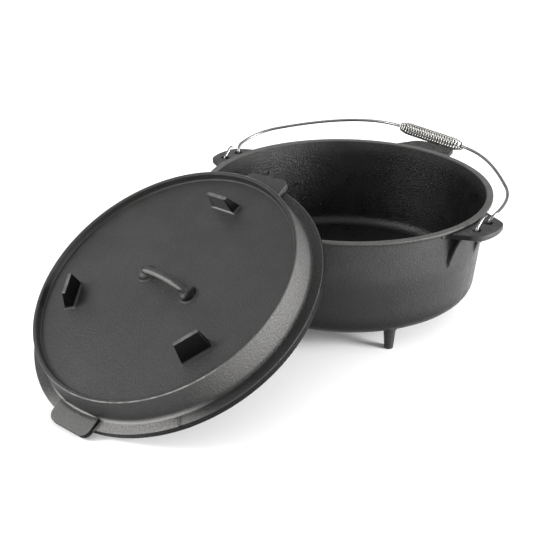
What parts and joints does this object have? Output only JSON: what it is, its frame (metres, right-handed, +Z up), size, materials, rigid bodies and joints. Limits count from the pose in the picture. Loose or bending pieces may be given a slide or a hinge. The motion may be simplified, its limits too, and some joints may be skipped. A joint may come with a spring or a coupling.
{
  "type": "dutch oven",
  "caption": "Cast iron camp dutch oven on short legs with a flanged lid leaning on its rim and a wire bail with a coiled grip folded back.",
  "frame": {"origin": "on the ground under the middle of the whole object's box, with the lid leaning on the pot and the bail folded back", "axes": "+Z up; +X from the leaning lid to the pot, along the longest extent; +Y completes the frame, roughly along the bail's hinge line"},
  "size_m": [0.5776, 0.3724, 0.1788],
  "materials": {
    "pot_iron": "seasoned, satin black with a fine sand-cast grain",
    "lid_iron": "seasoned, satin black with a fine sand-cast grain",
    "bail_steel": "bright plated wire",
    "grip_steel": "satin plated coil"
  },
  "bodies": {
    "pot": {"pot": "pot_iron"},
    "lid": {"lid": "lid_iron"},
    "bail": {"bail": "bail_steel"},
    "grip": {"grip_coil": "grip_steel"}
  },
  "joints": [
    {"name": "lid_lift", "type": "slide", "parent": "pot", "child": "lid", "axis": [0, 0, 1], "range_m": [0, 0.15]},
    {"name": "bail_swing", "type": "hinge", "parent": "pot", "child": "bail", "pos_m": [0.10047, -0.00006, 0.1295], "axis": [0.0993, -0.9951, 0], "range_deg": [0, 115]},
    {"name": "grip_spin", "type": "hinge", "parent": "bail", "child": "grip", "pos_m": [0.23374, -0.01404, 0.16434], "axis": [-0.0368, -0.9989, -0.0289], "continuous": true}
  ]
}
